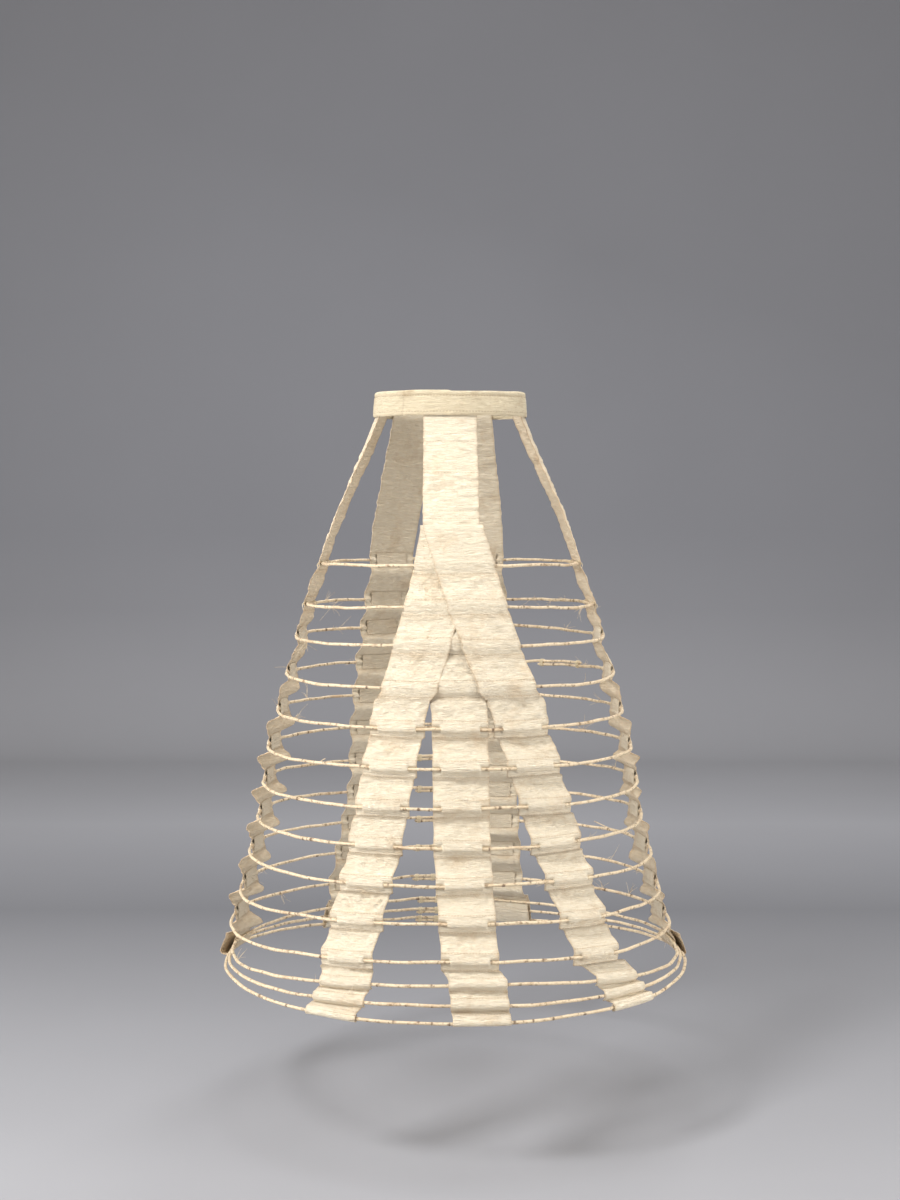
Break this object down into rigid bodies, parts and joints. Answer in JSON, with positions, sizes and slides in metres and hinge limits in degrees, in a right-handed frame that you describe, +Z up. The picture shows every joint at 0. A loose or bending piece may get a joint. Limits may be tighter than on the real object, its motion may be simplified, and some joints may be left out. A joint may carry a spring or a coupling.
{
  "type": "crinoline cage",
  "caption": "Bell-shaped skirt support of lapped cane hoops threaded through pocketed woven tapes that hang from a buttoned waistband.",
  "frame": {"origin": "middle of the waistband's lower edge, where the garment is held at the waist", "axes": "+Z up, +Y to the wearer's front, +X to the wearer's right"},
  "size_m": [0.7254, 0.7393, 0.9104],
  "materials": {
    "cane": "stripped cane, satin, with dark nodes",
    "tape_cotton": "heavy cream cotton twill tape, matte",
    "band_linen": "unbleached linen, matte, creased",
    "lashing_thread": "waxed linen thread",
    "button_shell": "bone, satin"
  },
  "bodies": {
    "root": {"waistband": "band_linen", "waist_button": "button_shell", "hoop_lashings": "lashing_thread", "hoop_01": "cane", "hoop_02": "cane", "hoop_03": "cane", "hoop_04": "cane", "hoop_05": "cane", "hoop_06": "cane", "hoop_07": "cane", "hoop_08": "cane", "hoop_09": "cane", "hoop_10": "cane", "hoop_11": "cane", "hoop_12": "cane", "hoop_13": "cane", "hoop_14": "cane", "centre_back_tape": "tape_cotton", "left_back_tape": "tape_cotton", "right_back_tape": "tape_cotton", "left_side_tape": "tape_cotton", "right_side_tape": "tape_cotton", "left_front_tape": "tape_cotton", "right_front_tape": "tape_cotton"}
  },
  "joints": []
}
